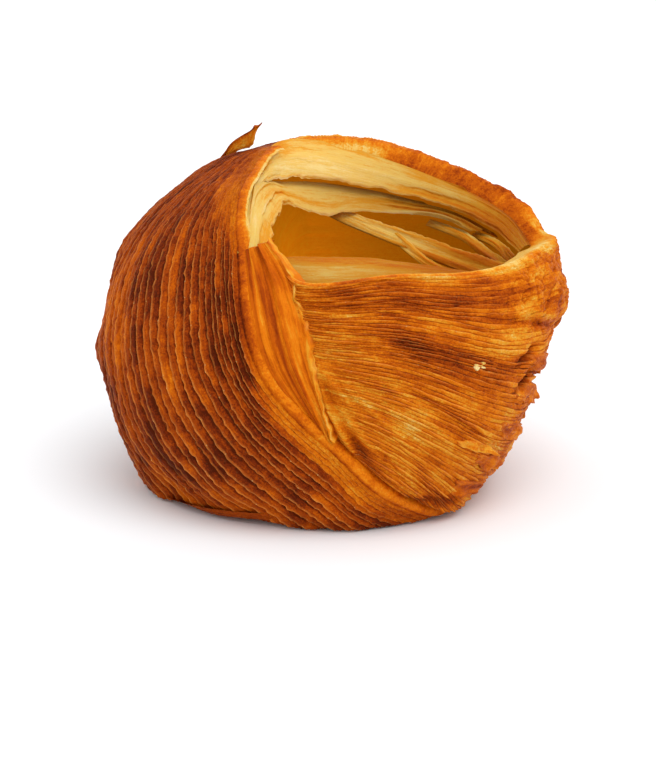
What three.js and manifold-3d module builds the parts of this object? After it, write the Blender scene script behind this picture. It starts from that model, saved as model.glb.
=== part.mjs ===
// A laminated Danish pastry: one wide strip of layered dough wound round into a hollow ball, open at
// the top. The strip starts as a fan of ridges at the front, runs round the right side and the back,
// and comes over the left side as a broad ridged band that folds down over its own start. Through the
// mouth show the baked layers inside: two sheets under the back of the rim, a ledge behind the front
// of it, and thin webs across the hollow. It is all one piece of dough, so it is one solid.
//
// Millimetres, +Z up. The fan faces -Y and the broad band lies on the -X side. The origin is under the
// middle of the pastry, on the surface that it rests on.
import * as THREE from "three";
import { mergeVertices } from "three/addons/utils/BufferGeometryUtils.js";
import Module from "manifold-3d";

// ---- Driving sizes ----------------------------------------------------------------------------
const WIDTH = 115;
const DEPTH = 102;
const HEIGHT = 82;
const WALL = 5; // crust and crumb between the hollow and the outside
const FLOOR = 15; // dough under the hollow
const RIDGE_DEPTH = 1.1;

// How far the ball reaches to each side: reach at its fullest level, roundness above and below that
// level, and foot, the reach that is left where it meets the table.
const SIDES = {
  left: { reach: WIDTH / 2, level: 0.43 * HEIGHT, above: 1.9, below: 1.75, foot: 0.41 * WIDTH },
  right: { reach: WIDTH / 2, level: 0.65 * HEIGHT, above: 1.9, below: 1.55, foot: 0.31 * WIDTH },
  front: { reach: DEPTH / 2, level: 0.46 * HEIGHT, above: 2.3, below: 2.6, foot: 0.4 * DEPTH },
  back: { reach: DEPTH / 2, level: 0.56 * HEIGHT, above: 2.2, below: 2.2, foot: 0.37 * DEPTH },
};
const LEAN = new THREE.Vector2(-7, 15); // the crown leans to the left and to the back
const SQUARENESS = 2.15; // of a level section: 2 is an ellipse
const HEART = new THREE.Vector3(0, 0, 38); // the hollow's middle, from which the skin is measured

const rad = THREE.MathUtils.degToRad;
const deg = THREE.MathUtils.radToDeg;
const { clamp, lerp, smoothstep } = THREE.MathUtils;

// ---- The ball ---------------------------------------------------------------------------------
function reachAt(side, z) {
  if (z >= side.level) {
    const rise = clamp((z - side.level) / (HEIGHT - side.level), 0, 1);
    return side.reach * (1 - rise ** side.above) ** (1 / side.above);
  }
  const footShare = (1 - (side.foot / side.reach) ** side.below) ** (1 / side.below);
  const fall = clamp((side.level - z) / side.level, 0, 1) * footShare;
  return side.reach * (1 - fall ** side.below) ** (1 / side.below);
}

// True inside a level section whose reach on each side comes from reach(side name, height).
function insideSection(p, reach) {
  const lean = clamp(p.z / HEIGHT, 0, 1) ** 3;
  const x = p.x - LEAN.x * lean;
  const y = p.y - LEAN.y * lean;
  const a = Math.max(reach(x > 0 ? "right" : "left", p.z), 0.001);
  const b = Math.max(reach(y > 0 ? "back" : "front", p.z), 0.001);
  return (Math.abs(x) / a) ** SQUARENESS + (Math.abs(y) / b) ** SQUARENESS < 1;
}

const LIFT = 0.4; // the outer layers clear the table by this; the core stands on it
const insideBall = (p) =>
  p.z > LIFT && p.z < HEIGHT && insideSection(p, (side, z) => reachAt(SIDES[side], z));

const CORE_DEEP = 5.5; // how far inside the ball the core lies
const insideCore = (p) =>
  p.z > 0 && insideSection(p, (side, z) => reachAt(SIDES[side], z) - CORE_DEEP);

const HOLLOW_LEFT = 15; // the left of the ball is thick with folded dough
const insideHollow = (p) =>
  p.z > FLOOR &&
  p.z < HEIGHT &&
  insideSection(p, (side, z) => {
    const wall = WALL + 9 * clamp((HEART.z - z) / HEART.z, 0, 1) ** 2;
    const reach = reachAt(SIDES[side], z) - wall;
    return side === "left" ? Math.min(reach, HOLLOW_LEFT) : reach;
  });

// Distance from origin along direction to where inside(point) ends.
function castTo(origin, direction, inside) {
  let near = 0;
  let far = WIDTH;
  const p = new THREE.Vector3();
  for (let step = 0; step < 40; step++) {
    const middle = (near + far) / 2;
    if (inside(p.copy(direction).multiplyScalar(middle).add(origin))) near = middle;
    else far = middle;
  }
  return near;
}

// The point at radius from origin along direction, held above the table.
const aboveTable = (origin, direction, radius) =>
  direction
    .clone()
    .multiplyScalar(Math.min(radius, (origin.z - LIFT) / Math.max(-direction.z, 0.001)))
    .add(origin);

// Direction from the heart: azimuth from +X towards +Y, fall from straight up, both in degrees.
const heading = (azimuth, fall) =>
  new THREE.Vector3(
    Math.sin(rad(fall)) * Math.cos(rad(azimuth)),
    Math.sin(rad(fall)) * Math.sin(rad(azimuth)),
    Math.cos(rad(fall)),
  );

// ---- The rim of the mouth ---------------------------------------------------------------------
// Fall of the rim at each azimuth, from the front left corner round the right side and the back.
const RIM = [
  [-131, 42], [-122, 53], [-112, 57], [-101, 64], [-70, 62], [-38, 66], [-9, 67], [6, 68],
  [22, 57], [46, 43], [80, 35], [110, 34], [130, 30], [151, 22], [186, 23], [214, 31],
];
function rimFall(azimuth) {
  const from = RIM[0][0];
  const turn = THREE.MathUtils.euclideanModulo(azimuth - from, 360) + from;
  const next = RIM.findIndex(([a]) => a > turn);
  const point = (k) => {
    const n = RIM.length;
    const [a, fall] = RIM[(k + n) % n];
    return [a + 360 * Math.floor(k / n), fall];
  };
  const k = next < 0 ? RIM.length : next;
  const [[a0, f0], [a1, f1], [a2, f2], [a3, f3]] = [k - 2, k - 1, k, k + 1].map(point);
  const t = (turn - a1) / (a2 - a1);
  const m1 = ((f2 - f0) / (a2 - a0)) * (a2 - a1);
  const m2 = ((f3 - f1) / (a3 - a1)) * (a2 - a1);
  return (
    (2 * t ** 3 - 3 * t ** 2 + 1) * f1 + (t ** 3 - 2 * t ** 2 + t) * m1 +
    (3 * t ** 2 - 2 * t ** 3) * f2 + (t ** 3 - t ** 2) * m2
  );
}

// Thickness of the outer layers, thinner at the rim; degrees is how far below it.
const layerThick = (degrees) => lerp(4.2, 7.5, smoothstep(degrees, 0, 14));

// ---- The broad left band ----------------------------------------------------------------------
// Its ridges lie in planes that turn about one slanting axle, from the crown down to the right of
// the base. swing is the turn about the axle, 0 to the front and negative to the left; travel is
// the angle from the axle's upper end.
const CROWN = new THREE.Vector3(-7, 17.6, 84);
const AXLE_FOOT = new THREE.Vector3(51, 16, 3);
const AXLE_MIDDLE = CROWN.clone().add(AXLE_FOOT).multiplyScalar(0.5);
const AXLE = CROWN.clone().sub(AXLE_FOOT).normalize();
const AXLE_FRONT = new THREE.Vector3(0, -1, 0).projectOnPlane(AXLE).normalize();
const AXLE_SIDE = new THREE.Vector3().crossVectors(AXLE, AXLE_FRONT);

const bandHeading = (swing, travel) =>
  AXLE.clone()
    .multiplyScalar(Math.cos(rad(travel)))
    .addScaledVector(AXLE_FRONT, Math.sin(rad(travel)) * Math.cos(rad(swing)))
    .addScaledVector(AXLE_SIDE, Math.sin(rad(travel)) * Math.sin(rad(swing)));

const BAND_FOLD = -23; // swing of the front fold, where the band lies over the fan's start
const BAND_BACK = -150; // swing of the far edge, at the back
const BAND_TOP = 12; // travel at the mouth
const BAND_BOTTOM = 153; // travel at its far end, near the table
const BAND_THICK = 9;

// Swing and travel of a point, with the swing counted on from the fold round the right and the back.
function bandPlace(p) {
  const q = p.clone().sub(AXLE_MIDDLE);
  const swing = deg(Math.atan2(q.dot(AXLE_SIDE), q.dot(AXLE_FRONT)));
  const from = BAND_FOLD - 30;
  return {
    swing: THREE.MathUtils.euclideanModulo(swing - from, 360) + from,
    travel: deg(q.angleTo(AXLE)),
  };
}

const foldSwing = (travel) => BAND_FOLD - 17 * Math.exp((13 - travel) / 10);

// The strip pulled out from under the fold lies deeper than both; its right edge swings out from the
// fold and back to it.
const STRIP_TOP = 53; // travel at its top and its bottom
const STRIP_END = 100;
const STRIP_DEEP = 4.4;
const STRIP_EDGE = 1; // depth at its right edge
const STRIP_THICK = 5;
const stripSwing = (travel) =>
  BAND_FOLD + 7.8 * Math.sin(Math.PI * clamp((travel - 36) / (STRIP_END - 36), 0, 1)) ** 0.8;

// ---- The fan, the right side and the back -------------------------------------------------------
// Azimuth as degrees away from the +X side, to the front when negative.
const fromRight = (azimuth) => THREE.MathUtils.euclideanModulo(azimuth + 180, 360) - 180;

// A ridge of the fan is a line of constant share: 0 at the rim, 1 under the base. To the front left
// the lines draw together.
const LAST_FALL = 150;
function fanFall(azimuth, share) {
  const left = -fromRight(azimuth);
  const gather = 1 + 0.9 * clamp((left - 30) / 62, 0, 1.3) * (1 - smoothstep(left, 120, 170));
  const rim = rimFall(azimuth);
  return rim + (LAST_FALL - rim) * share ** gather;
}

const FAN_END = 360 + BAND_BACK + 8; // swing at which it ends, under the far edge of the band
const RIM_END = 118; // azimuth at which the rim passes from the fan to the band

// The front layers of the fan end in a torn edge on the right side.
const TEAR = { azimuth: -3, wander: 7, step: 1.7 };
const tearAt = (share) =>
  TEAR.azimuth + TEAR.wander * Math.sin(9 * share + 1) + 0.6 * TEAR.wander * Math.sin(31 * share);

// Uneven baking: the ball swells and sinks a little from place to place.
const swell = (azimuth, fall) =>
  0.6 * Math.sin(rad(3 * azimuth + 40)) * Math.sin(rad(2.2 * fall)) +
  0.4 * Math.sin(rad(5 * azimuth + 2.7 * fall));

// Knobs of folded layers at the right, under the rim and near the table, and the dent between them.
const LUMPS = [
  { azimuth: -4, fall: 78, wide: 13, high: 12, height: 1 },
  { azimuth: 0, fall: 97, wide: 22, high: 6, height: -1.8 },
  { azimuth: -10, fall: 125, wide: 16, high: 7, height: 1.8 },
];
const lump = (azimuth, fall) =>
  LUMPS.reduce(
    (sum, l) =>
      sum +
      l.height * Math.exp(-(((azimuth - l.azimuth) / l.wide) ** 2) - ((fall - l.fall) / l.high) ** 2),
    0,
  );

const skinRadius = (azimuth, fall) => castTo(HEART, heading(azimuth, fall), insideBall);
const skinPoint = (azimuth, fall) =>
  heading(azimuth, fall).multiplyScalar(skinRadius(azimuth, fall)).add(HEART);

// Azimuth at which a line of the fan crosses a given edge of the band or the strip.
function crossing(share, from, to, beyond) {
  let [near, far] = [from, to];
  for (let step = 0; step < 24; step++) {
    const middle = (near + far) / 2;
    if (beyond(bandPlace(skinPoint(middle, fanFall(middle, share))))) far = middle;
    else near = middle;
  }
  return near;
}
const fanStart = (share) =>
  crossing(share, -150, 10, ({ swing, travel }) => swing > stripSwing(travel) - 1.5);
// The lowest lines pass below the band's axle, so they end under its front half instead.
const fanFinish = (share) =>
  Math.max(
    crossing(share, -40, RIM_END, ({ swing }) => swing > FAN_END),
    lerp(89, 15, smoothstep(share, 0.6, 1)),
  );

// How far the fan sinks where the band lies over it. AXLE_REACH is about the distance from the axle's
// middle to the surface.
const AXLE_REACH = 46;
function underBand({ swing, travel }) {
  const over = Math.max(swing - 360 - BAND_BACK, foldSwing(travel) - swing);
  const length = rad(over) * AXLE_REACH * Math.sin(rad(travel));
  const atEnds = smoothstep(travel, 14, 34) * smoothstep(160 - travel, 0, 12);
  return 4.5 * smoothstep(length, -3, 1.5) * atEnds;
}

// ---- Making solids ----------------------------------------------------------------------------
const wasm = await Module();
wasm.setup();

function toSolid(geometry) {
  geometry.deleteAttribute("normal");
  geometry.deleteAttribute("uv");
  const merged = mergeVertices(geometry, 1e-3);
  return new wasm.Manifold(
    new wasm.Mesh({
      numProp: 3,
      vertProperties: new Float32Array(merged.attributes.position.array),
      triVerts: new Uint32Array(merged.index.array),
    }),
  );
}

// A box of cols by rows faces, bent so that each point lies where place(across, along, side) says:
// all run from 0 to 1, and side is 0 underneath and 1 on top.
function bentSlab(cols, rows, place) {
  const geometry = new THREE.BoxGeometry(1, 1, 1, cols, rows, 1);
  const position = geometry.attributes.position;
  for (let i = 0; i < position.count; i++) {
    const p = place(position.getX(i) + 0.5, position.getY(i) + 0.5, position.getZ(i) + 0.5);
    position.setXYZ(i, p.x, p.y, p.z);
  }
  return toSolid(geometry);
}

// ---- The core: base, the wall behind the outer layers, and the hollow ---------------------------
const CORE = { columns: 36, base: 1, outside: 8, hollow: 8 };

function corePoint(azimuth, ring) {
  const rim = rimFall(azimuth) + 3;
  if (ring <= CORE.base + CORE.outside) {
    const up = (ring - CORE.base) / CORE.outside;
    const fall = ring < CORE.base ? lerp(180, LAST_FALL, ring / CORE.base) : lerp(LAST_FALL, rim, up);
    const direction = heading(azimuth, fall);
    const upper = castTo(HEART, direction, insideBall) - layerThick(fall - rim) + 2;
    const lower = castTo(HEART, direction, insideCore);
    return direction.multiplyScalar(lerp(upper, lower, smoothstep(fall, 95, 115))).add(HEART);
  }
  const down = (ring - CORE.base - CORE.outside - 1) / CORE.hollow;
  const fall = lerp(rim, 180, down);
  const direction = heading(azimuth, fall);
  const radius = Math.min(
    castTo(HEART, direction, insideHollow),
    castTo(HEART, direction, insideBall) - layerThick(fall - rim + 3) - 1,
  );
  return direction.multiplyScalar(radius).add(HEART);
}

function core() {
  const rings = CORE.base + CORE.outside + CORE.hollow + 2;
  const profile = Array.from({ length: rings }, (_, ring) => new THREE.Vector2(ring, ring));
  const geometry = new THREE.LatheGeometry(profile, CORE.columns);
  const position = geometry.attributes.position;
  for (let i = 0; i < position.count; i++) {
    const p = corePoint((360 * Math.floor(i / rings)) / CORE.columns, i % rings);
    position.setXYZ(i, p.x, p.y, p.z);
  }
  return toSolid(geometry);
}

// ---- The fan layer ----------------------------------------------------------------------------
const FAN_RIDGES = 22;
const FAN_SHARE = 0.83; // its lowest line, near the table

function fan() {
  const lines = FAN_RIDGES * 2;
  return bentSlab(lines, 30, (across, along, side) => {
    const share = FAN_SHARE * across;
    const azimuth = lerp(fanStart(share), fanFinish(share), along);
    const fall = fanFall(azimuth, share);
    const smooth = skinRadius(azimuth, fall);
    const front = fromRight(azimuth);
    const crest = Math.round(across * lines) % 2;
    const fade = smoothstep(LAST_FALL - fall, 4, 14);
    const groove = RIDGE_DEPTH * (1 - crest * fade);
    const torn = TEAR.step * smoothstep(azimuth, tearAt(share) - 1, tearAt(share) + 3);
    const tuck = 1.4 * (1 - smoothstep(along, 0, 0.06));
    const lumps = fade * (swell(azimuth, fall) + lump(front, fall) - torn * Math.sin(Math.PI * share));
    const thick = layerThick(fall - rimFall(azimuth));
    const sunk = underBand(bandPlace(aboveTable(HEART, heading(azimuth, fall), smooth)));
    const radius = side ? smooth - groove - tuck + lumps - sunk : smooth - thick;
    return aboveTable(HEART, heading(azimuth, fall), radius);
  });
}

// ---- The left band ----------------------------------------------------------------------------
// Fine ridges to the front, broader ones round the left side to the back.
const BAND_RIDGES = { fine: 15, broad: 12 };
const FINE_SPREAD = 38; // degrees of swing that the fine ridges take up
const BAND_STEPS = { side: 13, under: 2 };

// Travel at which the band turns under the base.
function turnUnder(swing) {
  let [above, below] = [40, BAND_BOTTOM - 4];
  for (let step = 0; step < 24; step++) {
    const middle = (above + below) / 2;
    const direction = bandHeading(swing, middle);
    const reached = castTo(AXLE_MIDDLE, direction, insideBall) * direction.z + AXLE_MIDDLE.z;
    if (reached < LIFT + 0.05) below = middle;
    else above = middle;
  }
  return above;
}

function leftBand() {
  const lines = (BAND_RIDGES.fine + BAND_RIDGES.broad) * 2;
  const steps = BAND_STEPS.side + BAND_STEPS.under;
  const fineShare = BAND_RIDGES.fine / (BAND_RIDGES.fine + BAND_RIDGES.broad);
  return bentSlab(lines, steps, (across, along, side) => {
    const fromFold = 1 - across;
    const swingAt = (travel) => {
      const fold = foldSwing(travel);
      return fromFold < fineShare
        ? fold - (FINE_SPREAD * fromFold) / fineShare
        : lerp(fold - FINE_SPREAD, BAND_BACK, (fromFold - fineShare) / (1 - fineShare));
    };
    const under = turnUnder(swingAt(90));
    const down = (1 - along) * steps;
    const travel =
      down <= BAND_STEPS.side
        ? lerp(BAND_TOP, under, down / BAND_STEPS.side)
        : lerp(under, BAND_BOTTOM, (down - BAND_STEPS.side) / BAND_STEPS.under);
    const direction = bandHeading(swingAt(travel), travel);
    const smooth = castTo(AXLE_MIDDLE, direction, insideBall);
    const crest = Math.round(across * lines) % 2;
    const fade = Math.sin(rad(travel)) * (1 - smoothstep(down, BAND_STEPS.side - 1, BAND_STEPS.side));
    const groove = RIDGE_DEPTH * (1 - crest * fade);
    const edge = smoothstep(Math.min(across, 1 - across) * lines, 0, 3);
    const radius = side ? smooth - groove - 1.4 * (1 - edge) : smooth - BAND_THICK;
    return aboveTable(AXLE_MIDDLE, direction, radius);
  });
}

// ---- The pulled strip beside the fold -----------------------------------------------------------
function pulledStrip() {
  return bentSlab(6, 10, (across, along, side) => {
    const travel = lerp(STRIP_END, STRIP_TOP, along);
    const swing = lerp(BAND_FOLD - 4, stripSwing(travel) + 0.8, across);
    const direction = bandHeading(swing, travel);
    const smooth = castTo(AXLE_MIDDLE, direction, insideBall);
    const depth = lerp(STRIP_DEEP, STRIP_EDGE, smoothstep(across, 0.3, 1));
    return direction.multiplyScalar(smooth - depth - (1 - side) * STRIP_THICK).add(AXLE_MIDDLE);
  });
}

// ---- Sheets and webs inside -------------------------------------------------------------------
// A sheet of dough between a root line in the wall and a free edge, thinning towards the edge.
function sheet({ root, edge, thick, cols, rows, bulge = 0 }) {
  const curves = [root, edge].map(
    (points) => new THREE.CatmullRomCurve3(points.map((p) => new THREE.Vector3(...p))),
  );
  const at = (across, along) => {
    const [from, to] = curves.map((curve) => curve.getPointAt(across));
    const p = from.lerp(to, along);
    p.z += bulge * Math.sin(Math.PI * along);
    return p;
  };
  const step = 0.02;
  return bentSlab(cols, rows, (across, along, side) => {
    const a = clamp(across, step, 1 - step);
    const b = clamp(along, step, 1 - step);
    const du = at(a + step, b).sub(at(a - step, b));
    const dv = at(a, b + step).sub(at(a, b - step));
    const normal = du.cross(dv).normalize();
    return at(across, along).addScaledVector(normal, (side - 0.5) * thick * lerp(1, 0.6, along));
  });
}

const SHEETS = {
  upper: {
    root: [
      [-21, -10, 75], [-19, 8, 77.5], [-11, 27, 75.5], [8, 30, 74.5],
      [27, 26, 70], [42, 19, 62], [52, 6, 55],
    ],
    edge: [
      [-18, -8, 70], [-15, 2, 71.5], [-9, 11, 71.5], [4, 17, 69.5],
      [19, 17.5, 66.5], [34, 12, 61], [47, 1, 56],
    ],
    thick: 2.6,
    cols: 16,
    rows: 2,
    bulge: 1,
  },
  lower: {
    root: [
      [-24, -12, 64], [-22, 12, 66], [-12, 30, 69], [6, 35, 69],
      [26, 32, 65], [41, 22, 59], [51, 8, 54],
    ],
    edge: [
      [-18, -9, 65.5], [-15.5, 1, 66], [-9, 10.5, 66], [5, 16, 63.5],
      [18, 17, 62], [32, 14, 59.5], [45, 3, 54.5],
    ],
    thick: 2.2,
    cols: 16,
    rows: 2,
    bulge: 1,
  },
  ledge: {
    root: [[-20, -34, 55], [-6, -40, 55], [12, -38, 55.5], [28, -34, 55.5], [39, -29, 55.5]],
    edge: [[-15, -24, 60.3], [-6, -22, 60], [9, -20, 59.3], [22, -22, 58.2], [34, -28, 57.4]],
    thick: 2.2,
    cols: 10,
    rows: 2,
    bulge: 1,
  },
};

// A web is a narrow ribbon strung from one side of the hollow to another.
const WEBS = [
  {
    line: [[5, 20, 64.5], [16, 12, 60.4], [25.5, 4, 57.8], [34.6, -6, 55.8], [44, -18, 55]],
    widths: [3.2, 6.5],
  },
  { line: [[13, 15, 60.5], [17.5, 5, 57], [21, -9, 55], [24, -24, 56.5]], widths: [2.2, 3] },
  { line: [[31, 17, 60.5], [37, 6.5, 57.4], [41.5, -4, 54.8], [46, -14, 54]], widths: [2, 2.6] },
];
const WEB_THICK = 1.6;

function web({ line, widths }) {
  const shifted = (sign) =>
    line.map(([x, y, z], k) => {
      const half = (sign * lerp(widths[0], widths[1], k / (line.length - 1))) / 2;
      return [x + half * 0.55, y + half * 0.55, z + half * 0.63];
    });
  return sheet({ root: shifted(-1), edge: shifted(1), thick: WEB_THICK, cols: 8, rows: 1 });
}

// ---- The loose flake on the crown ---------------------------------------------------------------
const FLAKE = {
  root: [[-38, 8, 69], [-31, 12, 75.2], [-26, 13, 78.6], [-21.5, 14.5, 82], [-17.6, 16, 85.2]],
  edge: [[-35, 4, 68], [-28, 7, 75.8], [-23, 9, 78.8], [-19.5, 12, 81.2], [-17.2, 15.6, 84.9]],
  thick: 1.3,
  cols: 6,
  rows: 1,
};

// ---- Everything in one solid --------------------------------------------------------------------
const pieces = [
  core(),
  fan(),
  leftBand(),
  pulledStrip(),
  ...Object.values(SHEETS).map(sheet),
  ...WEBS.map(web),
  sheet(FLAKE),
];
const whole = pieces.reduce((sum, piece) => sum.add(piece));

const mesh = whole.getMesh();
const geometry = new THREE.BufferGeometry();
geometry.setAttribute("position", new THREE.BufferAttribute(new Float32Array(mesh.vertProperties), 3));
geometry.setIndex(new THREE.BufferAttribute(new Uint32Array(mesh.triVerts), 1));
geometry.computeBoundingBox();
const { min, max } = geometry.boundingBox;
geometry.translate(-(min.x + max.x) / 2, -(min.y + max.y) / 2, -min.z);
geometry.computeVertexNormals();

const pastry = new THREE.Mesh(
  geometry,
  new THREE.MeshStandardMaterial({ color: 0xb8661c, roughness: 0.55, metalness: 0 }),
);
pastry.name = "pastry";

const group = new THREE.Group();
group.name = "danish_pastry";
group.add(pastry);
export default group;
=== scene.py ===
# A laminated Danish pastry, wound into a hollow ball: a broad ridged band on the left that folds down
# over a fan of finer ridges, a strip pulled out between them, and pale baked layers inside the mouth.
#
# The crust is worked in millimetres about the hollow's heart and then put in the part's frame, in
# metres, +Z up. The wound skins are grids whose points are moved in code, because the ridges have to
# follow the winding of the dough. Angles are in degrees. The last number given to wander, uneven,
# uneven_at and beads is a seed, and each use has its own.
import math
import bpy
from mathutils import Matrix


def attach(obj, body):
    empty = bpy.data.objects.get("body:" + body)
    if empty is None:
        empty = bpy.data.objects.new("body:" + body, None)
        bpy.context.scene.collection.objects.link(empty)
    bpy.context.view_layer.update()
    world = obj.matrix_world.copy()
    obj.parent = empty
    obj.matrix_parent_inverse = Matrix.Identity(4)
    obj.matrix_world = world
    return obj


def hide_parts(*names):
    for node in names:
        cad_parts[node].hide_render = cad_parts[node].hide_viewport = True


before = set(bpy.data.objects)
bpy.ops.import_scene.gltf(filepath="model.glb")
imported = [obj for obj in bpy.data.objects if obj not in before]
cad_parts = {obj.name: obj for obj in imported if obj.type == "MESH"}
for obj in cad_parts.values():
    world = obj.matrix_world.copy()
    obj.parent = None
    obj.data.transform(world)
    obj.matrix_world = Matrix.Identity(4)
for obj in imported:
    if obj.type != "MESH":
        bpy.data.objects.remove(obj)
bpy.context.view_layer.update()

from types import SimpleNamespace

import bpy
import numpy as np
from mathutils import Vector

bpy.ops.object.select_all(action="DESELECT")

# ---- Driving sizes, mm
WIDTH = 115
DEPTH = 102
HEIGHT = 82  # without the flake on the crown
WALL = 5
WALL_FOOT = 9  # how much thicker the wall gets towards the table
FLOOR = 15
LIFT = 0.4  # of the crust above the table; the underside closes the gap
CENTRED = np.array([0.695, -1.32, 0.0])  # from the heart's frame to the part's

SIDES = {
    "left": (WIDTH / 2, 0.43 * HEIGHT, 1.9, 1.75, 0.41 * WIDTH),
    "right": (WIDTH / 2, 0.65 * HEIGHT, 1.9, 1.55, 0.31 * WIDTH),
    "front": (DEPTH / 2, 0.46 * HEIGHT, 2.3, 2.6, 0.40 * DEPTH),
    "back": (DEPTH / 2, 0.56 * HEIGHT, 2.2, 2.2, 0.37 * DEPTH),
}  # reach, level of that reach, roundness above and below it, reach at the table
LEAN = (-7, 15)  # how far the top lies from over the foot
SQUARENESS = 2.15
HEART = np.array([0.0, 0.0, 38.0])
HOLLOW_LEFT = 15
MM_A_DEGREE = 0.9  # on the ball
CAST_STEPS = 22
CROSSING_STEPS = 18


# ---- Small tools
def smooth(x, low, high):
    t = np.clip((x - low) / (high - low), 0, 1)
    return t * t * (3 - 2 * t)


def mix(a, b, t):
    return a + (b - a) * t


def unit(v):
    return v / np.linalg.norm(v, axis=-1, keepdims=True)


def bell(x, width):
    return np.exp(-((x / width) ** 2))


def row(*parts):
    return np.concatenate(parts)[None, :]


def uneven(x, y, z, size, seed):
    """Smooth random variation about 0, mostly between -1 and 1, whose bumps are about size across."""
    rng = np.random.default_rng(seed)
    total = 0
    for _ in range(14):
        turn = unit(rng.normal(size=3)) * 2 * np.pi / (size * rng.uniform(1.1, 3.2))
        total += np.sin(x * turn[0] + y * turn[1] + z * turn[2] + rng.uniform(0, 7))
    return total * 0.36


def uneven_at(p, size, seed):
    return uneven(*np.moveaxis(p, -1, 0), size, seed)


def wander(x, y, seed):
    """The same over a flat lay, with bumps about 1 across."""
    return uneven(x, y, 0, 1.0, seed)


def beads(ridge, length, size, seed):
    """Random variation along each ridge, different on every one, with bumps about half of size long."""
    rng = np.random.default_rng(seed)
    total = 0
    for _ in range(5):
        wave = length * 2 * np.pi / (size * rng.uniform(0.7, 1.6))
        total += np.sin(wave + ridge * rng.uniform(20, 90))
    return total * 0.5


# ---- The ball
def reach_at(side, z):
    reach, level, above, below, foot = SIDES[side]
    rise = np.clip((z - level) / (HEIGHT - level), 0, 1)
    foot_share = (1 - (foot / reach) ** below) ** (1 / below)
    fall = np.clip((level - z) / level, 0, 1) * foot_share
    upper = reach * (1 - rise**above) ** (1 / above)
    return np.where(z >= level, upper, reach * (1 - fall**below) ** (1 / below))


def in_section(p, reach):
    z = p[..., 2]
    lean = np.clip(z / HEIGHT, 0, 1) ** 3
    x = p[..., 0] - LEAN[0] * lean
    y = p[..., 1] - LEAN[1] * lean
    a = np.maximum(np.where(x > 0, reach("right", z), reach("left", z)), 0.001)
    b = np.maximum(np.where(y > 0, reach("back", z), reach("front", z)), 0.001)
    return (np.abs(x) / a) ** SQUARENESS + (np.abs(y) / b) ** SQUARENESS < 1


def in_ball(p):
    z = p[..., 2]
    return (z > LIFT) & (z < HEIGHT) & in_section(p, reach_at)


def hollow_reach(side, z):
    wall = WALL + WALL_FOOT * np.clip((HEART[2] - z) / HEART[2], 0, 1) ** 2
    reach = reach_at(side, z) - wall
    return np.minimum(reach, HOLLOW_LEFT) if side == "left" else reach


def in_hollow(p):
    z = p[..., 2]
    return (z > FLOOR) & (z < HEIGHT) & in_section(p, hollow_reach)


def cast(origin, direction, inside):
    """Distance from origin along direction to where inside ends."""
    near = np.zeros(direction.shape[:-1])
    far = np.full(direction.shape[:-1], float(WIDTH))
    for _ in range(CAST_STEPS):
        middle = (near + far) / 2
        within = inside(origin + direction * middle[..., None])
        near = np.where(within, middle, near)
        far = np.where(within, far, middle)
    return near


def above_table(origin, direction, radius):
    """The points at radius from origin, drawn back along direction where they would be under the table."""
    most = (origin[2] - LIFT) / np.maximum(-direction[..., 2], 0.001)
    return origin + direction * np.minimum(radius, most)[..., None]


def heading(azimuth, fall):
    """Direction from the heart: azimuth turns from the right to the back, fall goes down from the top."""
    a, f = np.broadcast_arrays(np.radians(azimuth), np.radians(fall))
    return np.stack([np.sin(f) * np.cos(a), np.sin(f) * np.sin(a), np.cos(f)], -1)


# ---- The rim of the mouth
RIM = [  # azimuth, fall
    (-131, 42), (-122, 53), (-112, 57), (-101, 64), (-70, 62), (-38, 66), (-9, 67), (6, 68),
    (22, 57), (46, 43), (80, 35), (110, 34), (130, 30), (151, 22), (186, 23), (214, 31),
]


def rim_fall(azimuth):
    """Fall of the mouth's rim, on a smooth closed curve through RIM."""
    turns = np.array([a + 360 * k for k in (-1, 0, 1) for a, _ in RIM], float)
    falls = np.tile([float(f) for _, f in RIM], 3)
    slopes = (np.roll(falls, -1) - np.roll(falls, 1)) / (np.roll(turns, -1) - np.roll(turns, 1))
    turn = np.mod(azimuth - RIM[0][0], 360) + RIM[0][0]
    k = np.searchsorted(turns, turn, side="right")
    a1, a2, f1, f2 = turns[k - 1], turns[k], falls[k - 1], falls[k]
    t = (turn - a1) / (a2 - a1)
    m1, m2 = slopes[k - 1] * (a2 - a1), slopes[k] * (a2 - a1)
    return (
        (2 * t**3 - 3 * t**2 + 1) * f1 + (t**3 - 2 * t**2 + t) * m1
        + (3 * t**2 - 2 * t**3) * f2 + (t**3 - t**2) * m2
    )


def layer_thick(degrees):
    """Thickness of the fan's dough, so many degrees below the rim."""
    return mix(4.2, 7.5, smooth(degrees, 0, 14))


# ---- The broad left band
# It winds about a slanting axle: swing turns about the axle, and travel goes down it from the crown.
CROWN = np.array([-7, 17.6, 84])
AXLE_FOOT = np.array([51, 16, 3])
AXLE_MIDDLE = (CROWN + AXLE_FOOT) / 2
AXLE = unit(CROWN - AXLE_FOOT)
AXLE_FRONT = unit(np.array([0, -1, 0]) - AXLE * -AXLE[1])
AXLE_SIDE = np.cross(AXLE, AXLE_FRONT)
AXLE_REACH = 46

BAND_FOLD = -23
BAND_BACK = -150
BAND_TOP = 12
BAND_BOTTOM = 153


def band_heading(swing, travel):
    s, t = np.radians(swing)[..., None], np.radians(travel)[..., None]
    return AXLE * np.cos(t) + AXLE_FRONT * np.sin(t) * np.cos(s) + AXLE_SIDE * np.sin(t) * np.sin(s)


def band_place(p):
    q = unit(p - AXLE_MIDDLE)
    swing = np.degrees(np.arctan2(q @ AXLE_SIDE, q @ AXLE_FRONT))
    travel = np.degrees(np.arccos(np.clip(q @ AXLE, -1, 1)))
    return np.mod(swing - (BAND_FOLD - 30), 360) + BAND_FOLD - 30, travel


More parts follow.
